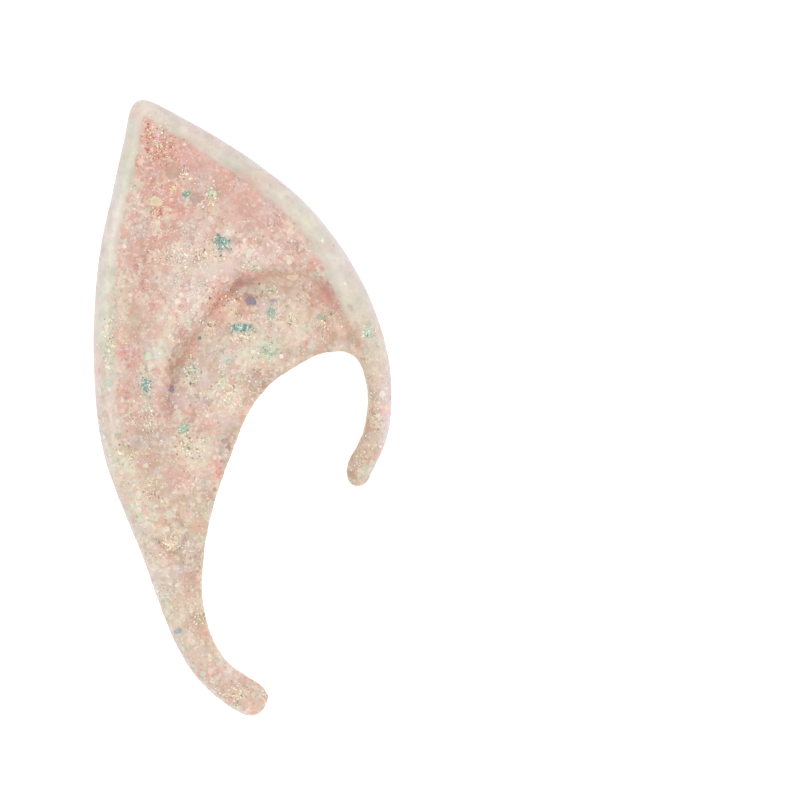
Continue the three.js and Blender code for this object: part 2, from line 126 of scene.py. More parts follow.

# Soft patches in the latex, by the photograph's pixels: middle, half width and half height in
# millimetres, strength and colour. Those marked below also hold painted shade, painted highlight on the
# crest, and one a painted glint.
PATCHES = [
    (148, 152, 2.6, 8.0, 0.65, SALMON),
    (172, 142, 5.0, 3.0, 0.78, SALMON),
    # partly painted shade: the red where the two rims meet in the point's groove
    (150, 130, 1.3, 3.8, 1.0, CORAL),
    (195, 158, 5.0, 3.2, 0.65, PINK),
    (210, 180, 6.5, 5.0, 0.78, ROSE),
    (240, 205, 6.5, 5.0, 0.65, PINK),
    (175, 205, 1.7, 3.6, 0.91, CORAL),
    (158, 236, 4.5, 3.4, 0.78, SALMON),
    (141, 256, 3.0, 4.4, 0.91, SALMON),
    (190, 226, 2.6, 2.4, 0.65, GREY_PINK),
    (191, 199, 1.8, 1.6, 0.8, "#AC988A"),
    # partly painted shade in the groove inside the left rim
    (137, 208, 1.3, 6.0, 0.5, "#C59C8E"),
    (125, 296, 1.8, 3.6, 0.78, CREAM),
    (162, 308, 3.6, 3.0, 0.78, PINK),
    (151, 342, 4.0, 3.6, 0.65, "#D6A69A"),
    (172, 284, 5.0, 3.2, 0.59, PALE_PINK),
    (182, 255, 4.0, 2.2, 0.6, "#F0E4DA"),
    # partly a painted highlight on the ridge's crest
    (212, 272, 6.0, 2.2, 0.91, PALE_PINK),
    (196, 300, 2.6, 3.4, 0.78, PALE_PINK),
    (173, 335, 1.4, 2.8, 1.0, "#F4EECA"),
    (165, 350, 1.6, 3.0, 1.0, "#F0F3DA"),
    (158, 363, 2.0, 2.8, 1.0, "#E6F2DE"),
    (148, 377, 2.0, 2.8, 0.9, "#D8E6D2"),
    (149, 404, 1.3, 5.0, 0.8, "#DFE4CE"),
    (127, 380, 1.7, 7.0, 0.85, ROSE),
    (138, 379, 1.4, 4.0, 0.8, "#F2C8BC"),
    (156, 382, 1.4, 3.4, 0.6, "#C4948C"),
    (127, 354, 1.6, 1.6, 1.0, "#DE8C8E"),
    (183, 333, 1.8, 2.6, 0.9, "#D0948A"),
    (179, 350, 1.9, 3.0, 0.8, "#B9907C"),
    (176, 367, 2.3, 3.6, 1.0, "#B0846F"),
    (208, 344, 1.2, 2.2, 0.8, "#A87C68"),
    (220, 299, 2.6, 3.0, 0.9, "#DA8A75"),
    (219, 306, 2.0, 2.4, 0.5, CORAL),
    (236, 308, 2.8, 3.0, 1.0, "#FBE6CA"),
    (246, 289, 4.0, 2.5, 1.0, "#A85E50"),
    (268, 276, 4.0, 2.0, 0.65, TAN),
    (272, 298, 5.0, 3.6, 0.5, "#DED4BE"),
    # These three are partly painted shade, where the fold runs into the groove inside the right rim
    (326, 288, 2.2, 4.4, 0.6, SHADED_BROWN_PINK),
    (317, 270, 1.8, 2.8, 0.8, "#BE8270"),
    (335, 310, 2.4, 3.4, 0.78, PINK),
    (300, 285, 4.0, 3.0, 0.59, TAN),
    (302, 316, 3.4, 2.8, 0.65, CREAM),
    (267, 350, 4.4, 3.2, 0.78, MINT),
    (242, 356, 3.6, 4.2, 0.65, CREAM),
    (214, 366, 3.6, 3.6, 0.52, GREY_PINK),
    (327, 345, 4.0, 2.2, 0.7, "#B7A08A"),
    (182, 410, 4.0, 4.0, 0.7, "#D3A09E"),
    (206, 408, 4.0, 3.4, 0.52, PALE_PINK),
    (226, 424, 3.4, 4.6, 0.5, PINK),
    (172, 462, 5.0, 5.6, 0.72, TAN),
    (134, 417, 2.4, 4.0, 0.6, "#BE9E88"),
    (118, 414, 1.6, 4.0, 0.5, "#ECE2D8"),
    (205, 458, 2.8, 2.4, 0.65, MINT),
    (191, 450, 2.2, 2.4, 0.7, "#ECE0CE"),
    (215, 472, 2.0, 2.8, 1.0, "#E57F76"),
    (184, 478, 2.4, 1.8, 0.9, "#DE8F80"),
    (199, 478, 1.8, 1.8, 0.8, "#E8C2AE"),
    (148, 512, 3.0, 2.4, 0.3, SALMON),
    (150, 470, 4.0, 2.6, 0.6, "#C4A690"),
    (178, 488, 3.4, 2.6, 0.7, "#C9AE9C"),
    (165, 523, 3.4, 2.2, 0.9, "#CC9C80"),
    (172, 540, 3.0, 2.6, 0.7, "#E8C9B4"),
    (163, 556, 2.4, 2.0, 0.65, SALMON),
    (190, 556, 2.4, 4.0, 0.95, "#A98C72"),
    (196, 530, 1.6, 6.0, 0.7, TAN),
    (163, 592, 2.2, 4.6, 0.59, MILK_MINT),
    (184, 592, 2.4, 5.0, 0.65, PINK),
    (191, 633, 2.4, 3.0, 0.6, "#BFA28C"),
    (243, 680, 3.6, 1.6, 0.65, PINK),
    (250, 706, 4.0, 2.6, 0.59, SALMON),
    (217, 692, 2.8, 4.0, 0.6, "#BC9884"),
    (376, 352, 3.0, 7.0, 0.6, "#D6CEB4"),
    (374, 400, 3.0, 6.0, 0.5, "#D2BEA4"),
    (368, 440, 3.0, 6.0, 0.6, "#CBB196"),
    (356, 472, 4.0, 3.6, 0.8, "#BE9F82"),
    (159, 156, 4.6, 6.6, 0.95, "#CE826C"),
    (164, 217, 4.0, 2.6, 0.85, "#CF8F7C"),
    # a painted glint
    (228, 233, 1.5, 1.0, 0.8, "#F2EEDD"),
    (146, 262, 3.4, 4.0, 0.75, "#CA8070"),
    (136, 251, 1.2, 1.8, 0.7, "#EBB2A2"),
    (298, 252, 3.4, 2.4, 0.75, "#CC8E80"),
    (209, 288, 2.0, 1.8, 0.9, PALE_PINK),
    (192, 306, 2.4, 2.4, 0.85, "#EEDACE"),
    (209, 326, 1.6, 2.0, 0.7, "#F2E6DA"),
    # partly a painted highlight on the ridge's crest
    (231, 270, 2.6, 1.2, 0.7, PALE_PINK),
    (131, 321, 3.6, 4.4, 0.6, "#D4C2A8"),
    (224, 352, 4.0, 4.6, 0.65, "#DEDCC6"),
    (210, 386, 2.8, 4.8, 0.65, "#E4DACA"),
    (332, 326, 4.0, 2.4, 0.6, CREAM),
    (259, 382, 3.6, 2.8, 1.0, "#B0846C"),
    (172, 398, 2.2, 4.0, 0.95, "#AC8270"),
    (152, 438, 4.4, 4.0, 0.85, "#B4957C"),
    (227, 451, 2.4, 3.0, 1.0, "#A07A6A"),
    (209, 493, 2.2, 3.2, 0.9, "#AC8A6A"),
    (184, 577, 3.6, 3.4, 0.65, "#B69884"),
    (230, 668, 2.8, 2.2, 0.9, "#EEE0D8"),
    (223, 243, 1.5, 1.3, 0.6, "#A3BDB3"),
    (240, 284, 2.4, 1.7, 0.8, "#AE7468"),
    (243, 329, 2.5, 0.9, 0.9, "#8FB4AC"),
    (147, 386, 0.8, 1.6, 0.5, "#A3BDB3"),
]

# And patches in its milky rim
RIM_PATCHES = [
    (130, 170, 1.2, 9.0, 0.5, MILK_MINT),
    (126, 215, 1.2, 8.0, 0.5, MILK_MINT),
    (116, 218, 1.8, 8.0, 0.7, "#EFEFEA"),
    (106, 320, 2.2, 6.0, 0.6, "#DCE3D2"),
    (101, 366, 1.2, 2.4, 0.7, "#E8A8A0"),
    (104, 426, 1.8, 8.0, 0.6, "#E3CDC6"),
    (124, 470, 2.2, 4.0, 0.3, CREAM),
    (142, 108, 2.0, 1.4, 0.4, PALE_PINK),
    (205, 142, 8.0, 1.6, 0.4, PALE_PINK),
    (262, 178, 6.0, 2.4, 0.35, PINK),
    (245, 183, 2.2, 1.4, 0.6, "#DE9488"),
    (312, 236, 2.4, 6.0, 0.5, MILK_MINT),
    (340, 262, 2.4, 6.0, 0.35, MILK_LILAC),
    (355, 300, 2.4, 6.0, 0.55, "#D3CCAE"),
    (368, 322, 2.2, 4.4, 0.5, "#D9D2BA"),
    (378, 352, 2.0, 6.0, 0.5, "#D8D4BC"),
    (388, 412, 1.5, 7.0, 0.8, "#F0F0F2"),
]

# Where the skin is smooth, with few flakes: middle, half width, half height and strength
CALM_ZONES = [
    (205, 165, 6.0, 4.6, 0.9),
    (238, 205, 6.0, 5.0, 0.8),
    (212, 266, 9.0, 2.4, 0.8),
    (162, 330, 4.0, 3.6, 0.6),
    (166, 352, 3.0, 4.4, 0.6),
    (132, 322, 2.6, 4.6, 0.6),
    (204, 366, 3.0, 3.4, 0.6),
    (226, 420, 3.4, 4.6, 0.6),
    (256, 350, 6.0, 3.4, 0.5),
    (184, 600, 3.0, 5.0, 0.5),
    (376, 356, 4.0, 8.0, 0.7),
    (150, 440, 5.0, 5.0, 0.5),
    (168, 474, 4.0, 4.0, 0.5),
    (206, 500, 2.6, 6.0, 0.5),
    (124, 505, 2.6, 9.0, 0.6),
    (160, 392, 2.4, 5.0, 0.5),
    (366, 436, 4.0, 9.0, 0.4),
]
IN_BRIGHT_LIGHT = 0.93  # the hex colours are as seen in the studio, so the latex itself is darker

# Creases pressed into the skin, by the photograph's pixels: points, depth and half width in millimetres
CREASES = [
    ([(159, 541), (166, 549), (176, 553), (182, 546), (185, 538)], 0.45, 0.45),
    ([(166, 521), (170, 528), (169, 536)], 0.3, 0.4),
    ([(178, 513), (180, 524), (190, 527)], 0.35, 0.4),
    ([(208, 556), (202, 552), (196, 556)], 0.25, 0.5),
    ([(150, 508), (158, 512), (168, 509)], 0.25, 0.5),
    ([(196, 318), (204, 310), (210, 300)], 0.25, 0.5),
]

# How fine the shell is, and how the solid's triangles are joined into faces first
WELD = 0.001  # corners closer than this become one
JOIN_DEGREES = 60
SUBDIVISIONS = 2
VOXEL = 0.43
SMOOTHINGS = 6
SMOOTHING = 0.5  # how far each smoothing goes

# Hand-cast latex isn't quite even: shallow swells, and lumps where flakes lie under the skin
SWELL_SIZE = 7
SWELL_RISE = 0.1
LUMP_SIZE = 1.7
LUMP_RISE = 0.1
LUMPS_OFF_RIM = 0.8  # the rim lacks this share of the lumps
BACK_CLEARANCE = 0.07  # the skin stays this far above the surface it lies on, for the flakes in its back

# What counts as the face, by how far the skin faces up and how high it lies, from none to all of it
FACE_TURN = (-0.1, 0.35)
FACE_HEIGHT = (2.2, 3.2)
RIM_FADE = (1.3, 0.5)  # the milky rim ends between these distances short of its inner edge

# The bank over the fold is fuller than the solid's, and the fold less deep: rise and reach
BANK_FILL = 0.5
BANK_REACH = 1.6
FOLD_FILL = 0.6
FOLD_REACH = 2.0

# The ridge leans over the fold towards the mouth, most of all at the top of its arch: row and lean
LEANS = [(7, 0.6), (9, 1.0), (11, 1.3), (13, 1.8), (14, 1.9), (17, 1.6), (19, 1.2), (20, 0.4), (21, 0.0)]
LEAN_REACH_INWARD = 6.0  # towards the mouth
LEAN_REACH_OUTWARD = 4.0
LEAN_OFF_LIP = (1.5, 6)  # the lip stays put, and the lean is whole this far from it

# Where the rim runs out into a milky edge: row and share
MILKY_EDGE = [(23.8, 0), (25, 1), (28, 1), (30, 0)]


def linear(code):
    """A colour given as sRGB hex, as the renderer's linear light."""
    parts = [int(code[i : i + 2], 16) / 255 for i in (1, 3, 5)]
    return [p / 12.92 if p <= 0.04045 else ((p + 0.055) / 1.055) ** 2.4 for p in parts] + [1.0]


def smooth(value, low, high):
    """0 below low, 1 above high, and a soft step between them."""
    share = np.clip((value - low) / (high - low), 0, 1)
    return share * share * (3 - 2 * share)


def bell(distance, reach):
    """1 at no distance, fading over the reach."""
    return np.exp(-((distance / reach) ** 2))


def place(shares):
    """Shares of the ear's width and length, as millimetres in the row frame."""
    return (np.array(shares) - 0.5) * [EAR_WIDTH, EAR_LENGTH]


def from_pixel(x, y):
    """A pixel of the photograph, as millimetres in the row frame."""
    across = (x - EAR_LEFT_PIXEL) / PIXELS_PER_MM - EAR_WIDTH / 2
    along = (EAR_FOOT_PIXEL - y) / PIXELS_PER_MM - EAR_LENGTH / 2
    return across, along


def patch(places, x, y, half_width, half_height):
    """1 at a pixel of the photograph, fading over the half width and half height."""
    reach = ((places - from_pixel(x, y)) / (half_width, half_height)) ** 2
    return np.exp(-reach.sum(axis=1))


def curve_through(points):
    """A centripetal curve through the points, in short steps."""
    ends = [2 * points[0] - points[1], 2 * points[-1] - points[-2]]
    p = np.vstack([ends[:1], points, ends[1:]])
    gap = np.sqrt(np.linalg.norm(np.diff(p, axis=0), axis=1))
    t = np.linspace(0, 1, CURVE_STEPS, endpoint=False)[:, None]
    made = []
    for i in range(1, len(p) - 2):
        p0, p1, p2, p3 = p[i - 1 : i + 3]
        d0, d1, d2 = gap[i - 1 : i + 2]
        leave = ((p1 - p0) / d0 - (p2 - p0) / (d0 + d1) + (p2 - p1) / d1) * d1
        arrive = ((p2 - p1) / d1 - (p3 - p1) / (d1 + d2) + (p3 - p2) / d2) * d1
        bend = -3 * p1 + 3 * p2 - 2 * leave - arrive
        made.append(p1 + leave * t + bend * t**2 + (2 * p1 - 2 * p2 + leave + arrive) * t**3)
    made.append(p[-2:-1])
    return np.vstack(made)


class Line:
    """A curve on the ear, seen from above, from which places are measured."""

    def __init__(self, points):
        self.points = curve_through(points)
        self.tree = KDTree(len(self.points))
        for i, (x, y) in enumerate(self.points):
            self.tree.insert((x, y, 0), i)
        self.tree.balance()

    def measure(self, places):
        """How far each place is past the line, which on the ear is towards the mouth.

        Then the row that it is beside, and the direction in which past lies.
        """
        found = [self.tree.find((x, y, 0))[1:] for x, y in places]
        index = np.array([f[0] for f in found])
        distance = np.array([f[1] for f in found])
        tangent = np.gradient(self.points, axis=0)[index]
        inward = np.column_stack([-tangent[:, 1], tangent[:, 0]])
        inward /= np.linalg.norm(inward, axis=1)[:, None]
        side = np.sign(((places - self.points[index]) * inward).sum(axis=1))
        return distance * side, index / CURVE_STEPS, inward


def column(number, rows):
    """A column of SECTIONS, at any place along the rows."""
    return np.interp(rows, range(len(SECTIONS)), [s[number] for s in SECTIONS])


def fold_place(section):
    """Where the fold crosses a section."""
    inner = place(section[INNER_EDGE])
    return inner + section[FOLD_AT] * (place(section[OUTLINE]) - inner)


FOLD_ROWS = slice(7, 26)  # the sections that the fold crosses
outline = Line(np.array([place(s[OUTLINE]) for s in SECTIONS]))
inner_edge = Line(np.array([place(s[INNER_EDGE]) for s in SECTIONS]))
fold_line = Line(np.array([fold_place(s) for s in SECTIONS[FOLD_ROWS]]))


def new_object(name, data):
    """A new object in the scene, at the origin."""
    made = bpy.data.objects.new(name, data)
    bpy.context.scene.collection.objects.link(made)
    return made


def grown_shell():
    """The CAD solid with its facets rounded off, evenly meshed."""
    mesh = bpy.data.meshes.new("latex_shell")
    bm = bmesh.new()
    bm.from_mesh(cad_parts["ear_shell"].data)
    bmesh.ops.remove_doubles(bm, verts=bm.verts, dist=WELD * MM)
    bmesh.ops.join_triangles(
        bm,
        faces=bm.faces,
        angle_face_threshold=math.radians(JOIN_DEGREES),
        angle_shape_threshold=math.radians(JOIN_DEGREES),
    )
    bm.to_mesh(mesh)
    bm.free()
    rough = new_object("rough_shell", mesh)
    rounding = rough.modifiers.new("rounding", "SUBSURF")
    rounding.levels = rounding.render_levels = SUBDIVISIONS
    even = rough.modifiers.new("even", "REMESH")
    even.mode = "VOXEL"
    even.voxel_size = VOXEL * MM
    soften = rough.modifiers.new("soften", "SMOOTH")
    soften.factor = SMOOTHING
    soften.iterations = SMOOTHINGS
    graph = bpy.context.evaluated_depsgraph_get()
    fine = bpy.data.meshes.new_from_object(rough.evaluated_get(graph))
    bpy.data.objects.remove(rough)
    fine.name = "latex_shell"
    return fine


def each_vector(rows, name):
    """The vectors kept in a mesh's rows, such as the places of its vertices."""
    values = np.empty(len(rows) * 3, np.float32)
    rows.foreach_get(name, values)
    return values.reshape(-1, 3).astype(float)


def keep_colours(mesh, name, colours):
    """Stores one linear colour a vertex, for the material to read."""
    kept = mesh.color_attributes.new(name, "FLOAT_COLOR", "POINT")
    opaque = np.column_stack([colours, np.ones(len(colours))])
    kept.data.foreach_set("color", opaque.astype(np.float32).ravel())


def tinted(colours, code, share):
    """The colours, each turned towards one hex colour by its share."""
    return colours + (np.array(linear(code)[:3]) - colours) * share[:, None]


# Where each vertex of the shell lies on the ear
shell = grown_shell()
points = each_vector(shell.vertices, "co") / MM
normals = each_vector(shell.vertex_normals, "vector")
flat_place = points[:, :2]
to_outline, outline_row, _ = outline.measure(flat_place)
to_inner = inner_edge.measure(flat_place)[0]
past_fold, fold_row, inward = fold_line.measure(flat_place)
to_outline, to_inner = np.abs(to_outline), np.abs(to_inner)
fold_row = fold_row + FOLD_ROWS.start
rim_width = RIM_WIDTH * column(RIM_SHARE, outline_row)
grooved = column(GROOVE_DEPTH, outline_row)
folded = column(FOLD_DEPTH, fold_row)
face_up = smooth(normals[:, 2], *FACE_TURN) * smooth(points[:, 2], *FACE_HEIGHT)
rim = (1 - smooth(to_outline, rim_width - RIM_FADE[0], rim_width - RIM_FADE[1])) * grooved

# The skin's relief: swells, lumps, the filled fold and the creases
swell = np.array([noise.noise(Vector(p / SWELL_SIZE)) for p in points])
lumps = np.array([noise.noise(Vector(p / LUMP_SIZE)) for p in points])
rise = swell * SWELL_RISE + lumps * LUMP_RISE * (1 - LUMPS_OFF_RIM * rim)
rise += BANK_FILL * bell(past_fold + BANK_REACH, BANK_REACH) * folded * face_up
rise += FOLD_FILL * bell(past_fold, FOLD_REACH) * folded * face_up
creased = np.zeros(len(points))
deepest = max(depth for _, depth, _ in CREASES)
for pixels, depth, half_width in CREASES:
    crease = Line(np.array([from_pixel(x, y) for x, y in pixels]))
    pressed = bell(crease.measure(flat_place)[0], half_width) * face_up
    rise -= depth * pressed
    creased = np.maximum(creased, pressed * depth / deepest)
points += normals * rise[:, None]

# The ridge's lean
lean_reach = np.where(past_fold > 0, LEAN_REACH_INWARD, LEAN_REACH_OUTWARD)
lean = np.interp(fold_row, *zip(*LEANS)) * bell(past_fold, lean_reach)
lean *= folded * face_up * smooth(to_inner, *LEAN_OFF_LIP)
points[:, :2] += inward * lean[:, None]
points[:, 2] = np.maximum(points[:, 2], BACK_CLEARANCE)
shell.vertices.foreach_set("co", (points * MM).astype(np.float32).ravel())
shell.update()
flat_place = points[:, :2]
along_ear = points[:, 1]

# The latex's colour at each vertex. A mask is 1 along the middle of its form, so many millimetres from
# one of the ear's lines, and fades over a reach. Each tint has a colour, a strength and a mask. The
# groove's and the fold's tints are partly painted shade, and the crest's is partly a painted highlight.
# Inside the rim the groove's pink is partly the latex's own colour and partly painted shade
groove_tint_and_shade = bell(to_outline - rim_width - 1.2, 2.0) * grooved
# Along the fold the brown pink is partly the latex's own colour and partly painted shade under the ridge
fold_tint_and_shade = bell(past_fold - 1.0, np.where(past_fold > 1.0, 3.0, 1.6)) * folded
# Along the ridge's crest the pale pink is partly the latex's own colour and partly a painted highlight
crest_tint_and_highlight = bell(past_fold + 3.4, 2.0) * folded
lip = bell(to_inner, 2.5)
warm_lip = smooth(along_ear, -18, -8) * grooved
milky_edge = np.interp(outline_row, *zip(*MILKY_EDGE)) * bell(to_outline, 2.4)
ground = np.tile(linear(LATEX)[:3], (len(points), 1))
for code, share in [
    (UPPER_PINK, 0.85 * smooth(along_ear, -12, 22)),
    (LOWER_TAN, 0.28 * smooth(-along_ear, 16, 34)),
    # partly painted shade: the pink in the groove inside the rim
    (PINK, 0.55 * groove_tint_and_shade * face_up),
    (SALMON, 0.6 * lip * warm_lip),
    (LIP_TAN, 0.6 * lip * (1 - warm_lip)),
    # partly a painted highlight: the pale pink along the ridge's crest
    (PALE_PINK, 0.85 * crest_tint_and_highlight * face_up),
    # partly painted shade: the brown pink along the fold
    (SHADED_BROWN_PINK, 0.95 * fold_tint_and_shade * face_up),
]:
    ground = tinted(ground, code, share)
for x, y, half_width, half_height, strength, code in PATCHES:
    ground = tinted(ground, code, strength * patch(flat_place, x, y, half_width, half_height) * face_up)
# Painted shade: the creases are darkened in the colour
ground = tinted(ground, CREASE_SHADE_BROWN, 0.9 * creased)
ground = tinted(ground, MILK_MINT, 0.6 * milky_edge)
ground = tinted(ground, MILK, 0.92 * rim)
for x, y, half_width, half_height, strength, code in RIM_PATCHES:
    ground = tinted(ground, code, strength * patch(flat_place, x, y, half_width, half_height))
ground = tinted(ground, EDGE_LILAC, 0.75 * bell(to_outline, 1.2))
ground *= IN_BRIGHT_LIGHT
keep_colours(shell, "ground", ground)

# How calm the skin is there: 1 has few flakes, as in the fold, the creases and the rim
calm = np.maximum(0.8 * fold_tint_and_shade * face_up, 0.9 * creased)
for x, y, half_width, half_height, strength in CALM_ZONES:
    calm = np.maximum(calm, strength * patch(flat_place, x, y, half_width, half_height) * face_up)
kept_calm = shell.attributes.new("calm", "FLOAT", "POINT")
kept_calm.data.foreach_set("value", np.maximum(rim, calm).astype(np.float32))

latex_shell = new_object("latex_shell", shell)
for polygon in shell.polygons:
    polygon.use_smooth = True
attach(latex_shell, "root")
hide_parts("ear_shell")


class Material:
    """A material's nodes. add() is the one way in: it makes a node, sets it and links it.

    Inputs go by their name, with _ for a space, or as i0, i1 and so on by their place.
    """

    def __init__(self, name):
        self.made = bpy.data.materials.new(name)
        self.made.use_nodes = True
        self.tree = self.made.node_tree
        self.tree.nodes.clear()

    def add(self, kind, settings=None, **inputs):
        node = self.tree.nodes.new("ShaderNode" + kind)
        for name, value in (settings or {}).items():
            setattr(node, name, value)
        for name, value in inputs.items():
            label = name.replace("_", " ")
            socket = node.inputs[int(name[1:])] if name[1:].isdigit() else node.inputs[label]
            if isinstance(value, bpy.types.NodeSocket):
                self.tree.links.new(value, socket)
            else:
                socket.default_value = value
        return node


COLOUR_MIX = {"data_type": "RGBA"}
COLOUR_TIMES = {"data_type": "RGBA", "blend_type": "MULTIPLY"}
COOL_CLOUD = "#CBD2BC"
WARM_CLOUD = "#E2B2A5"
CLOUD_SHARE = 0.2  # how much of the clouds shows in the latex
IN_CALM_SKIN = 0.25  # how much of the flakes under the skin shows where it is calmest
PAPER = "#FAFAF8"
WHITE = "#FFFFFF"

# The flakes seen under the skin: millimetres across, share of places that hold one, strength, softness of
# the edge as a share of the flake, and colours
FLAKES_UNDER_SKIN = [
    (4.2, 0.6, 0.5, 0.12, [PALE_PINK, CREAM, "#D9DCC6", "#D6C4C0", "#DBA592", TAN, PINK]),
    (2.2, 0.55, 0.5, 0.14, [PINK, "#F0DEC4", "#D6DCC2", "#D2BFBC", "#DFA093", "#EED9C4", "#C2A48C",
                            "#DDBFB6"]),
    (1.1, 0.4, 0.44, 0.2, ["#E2B4A8", "#F4E6D2", "#CDD6C2", "#D8C6C4", "#D3A096", "#F2E6D4", "#A88E7E"]),
    # The finest ones' white and cream are partly the flakes' own colour and partly painted glints
    (0.5, 0.4, 0.48, 0.3, ["#E6C6BA", "#FBF1E0", "#E6EADC", "#FFFBF0", "#AE8678", "#FBF5EA", "#8F7A6E"]),
]


def per_size(size):
    """The scale of a pattern whose cells are this many millimetres across."""
    return 1 / (size * MM)


# Cast latex rubber, milky from its own solids and filled with opal glitter. Slush moulding leaves a skin
# with a satin gloss, light goes a little way into it, and the flakes under the skin show as soft-edged
# patches of pink, cream, mint and lilac.
def cast_latex_with_glitter():
    m = Material("cast_latex_with_glitter")
    where = m.add("TexCoord").outputs["Object"]
    ground_colour = m.add("Attribute", {"attribute_name": "ground"}).outputs["Color"]
    calm_mask = m.add("Attribute", {"attribute_name": "calm"}).outputs["Fac"]
    calming = m.add("MapRange", Value=calm_mask, i3=1.0, i4=IN_CALM_SKIN).outputs[0]
    bright = [IN_BRIGHT_LIGHT] * 3 + [1.0]

    # Noise 1.6 mm across pushes the patterns about by up to half a millimetre, so no edge is straight
    wander = m.add("TexNoise", Vector=where, Scale=per_size(1.6), Detail=1.0).outputs["Color"]
    centred = m.add("VectorMath", {"operation": "SUBTRACT"}, i0=wander, i1=(0.5, 0.5, 0.5)).outputs[0]
    shift = m.add("VectorMath", {"operation": "SCALE"}, i0=centred, Scale=1.1 * MM).outputs[0]
    warped = m.add("VectorMath", {"operation": "ADD"}, i0=where, i1=shift).outputs[0]

    # Clouds in the latex: warm and cool ones 8 mm across, and light and dark ones 3 mm across
    warmth = m.add("TexNoise", Vector=warped, Scale=per_size(8), Detail=3.0, Roughness=0.6).outputs["Fac"]
    warm = m.add("MapRange", Value=warmth, i1=0.38, i2=0.62).outputs[0]
    shade = m.add("TexNoise", Vector=warped, Scale=per_size(3), Detail=2.0).outputs["Fac"]
    shading = m.add("MapRange", Value=shade, i1=0.35, i2=0.65, i3=0.9, i4=1.06).outputs[0]
    cloud = m.add("Mix", COLOUR_MIX, i0=warm, i6=linear(COOL_CLOUD), i7=linear(WARM_CLOUD)).outputs[2]
    latex = m.add("Mix", COLOUR_MIX, i0=CLOUD_SHARE, i6=ground_colour, i7=cloud).outputs[2]
    latex = m.add("Mix", COLOUR_TIMES, i0=1.0, i6=latex, i7=shading).outputs[2]

    for size, share, strength, softness, colours in FLAKES_UNDER_SKIN:
        pattern = {"Vector": warped, "Scale": per_size(size)}
        cells = m.add("TexVoronoi", **pattern)
        edges = m.add("TexVoronoi", {"feature": "DISTANCE_TO_EDGE"}, **pattern)
        chance = m.add("SeparateColor", Color=cells.outputs["Color"])
        inside = m.add("MapRange", Value=edges.outputs["Distance"], i1=0.0, i2=softness)
        present = m.add("Math", {"operation": "LESS_THAN"}, i0=chance.outputs["Red"], i1=share)
        shown = m.add("Math", {"operation": "MULTIPLY"}, i0=inside.outputs[0], i1=present.outputs[0])
        strong = m.add("Math", {"operation": "MULTIPLY"}, i0=shown.outputs[0], i1=strength)
        calmed = m.add("Math", {"operation": "MULTIPLY"}, i0=strong.outputs[0], i1=calming)
        film = m.add("ValToRGB", Fac=chance.outputs["Green"])
        film.color_ramp.interpolation = "CONSTANT"
        stops = film.color_ramp.elements
        for i, code in enumerate(colours):
            stop = stops[i] if i < len(stops) else stops.new(1)
            stop.position = i / len(colours)
            stop.color = linear(code)
        lit = m.add("Mix", COLOUR_TIMES, i0=1.0, i6=film.outputs["Color"], i7=bright).outputs[2]
        latex = m.add("Mix", COLOUR_MIX, i0=calmed.outputs[0], i6=latex, i7=lit).outputs[2]

    # The flakes lift the skin over them by less than a tenth of a millimetre
    lifted = m.add("TexVoronoi", Vector=where, Scale=per_size(0.8)).outputs["Distance"]
    bump = m.add("Bump", Height=lifted, Strength=0.5, Distance=0.08 * MM).outputs["Normal"]
    skin = m.add(
        "BsdfPrincipled",
        Base_Color=latex,
        Roughness=0.55,
        IOR=1.52,
        Normal=bump,
        Subsurface_Weight=0.12,
        Subsurface_Radius=(1.0, 0.75, 0.65),
        Subsurface_Scale=1.5 * MM,
        Coat_Weight=0.06,
        Coat_Roughness=0.3,
    )
    m.add("OutputMaterial", Surface=skin.outputs[0])
    return m.made


# Opal glitter: clear polyester film, coated in layers too thin to see and cut in hexagons. The layers
# leave it pearly, with a soft glint over a milky colour of its own.
def opal_glitter_film():
    m = Material("opal_glitter_film")
    tint = m.add("Attribute", {"attribute_name": "tint"}).outputs["Color"]
    where = m.add("TexCoord").outputs["Object"]
    mottle = m.add("TexNoise", Vector=where, Scale=per_size(0.9), Detail=1.0).outputs["Fac"]
    mottled = m.add("MapRange", Value=mottle, i1=0.3, i2=0.7, i3=0.88, i4=1.06).outputs[0]
    pearly = m.add("Mix", COLOUR_TIMES, i0=1.0, i6=tint, i7=mottled).outputs[2]
    film = m.add(
        "BsdfPrincipled",
        Base_Color=pearly,
        Roughness=0.25,
        IOR=1.57,
        Coat_Weight=0.4,
        Coat_Roughness=0.1,
    )
    m.add("OutputMaterial", Surface=film.outputs[0])
    return m.made


# Uncoated paper, pressed flat: matt and even, so the ear lies on a plain pale ground. Its fibres are too
# fine to show, so the unevenness that they leave is drawn 2 mm across.
def uncoated_paper():
    m = Material("uncoated_paper")
    where = m.add("TexCoord").outputs["Object"]
    fibre = m.add("TexNoise", Vector=where, Scale=per_size(2), Detail=4.0).outputs["Fac"]
    bump = m.add("Bump", Height=fibre, Strength=0.05, Distance=0.05 * MM).outputs["Normal"]
    paper = m.add(
        "BsdfPrincipled",
        Base_Color=linear(PAPER),
        Roughness=0.9,
        Normal=bump,
        Emission_Color=linear(WHITE),
        Emission_Strength=PAPER_GLOW,
    )
    m.add("OutputMaterial", Surface=paper.outputs[0])
    return m.made


shell.materials.append(cast_latex_with_glitter())
glitter_film = opal_glitter_film()

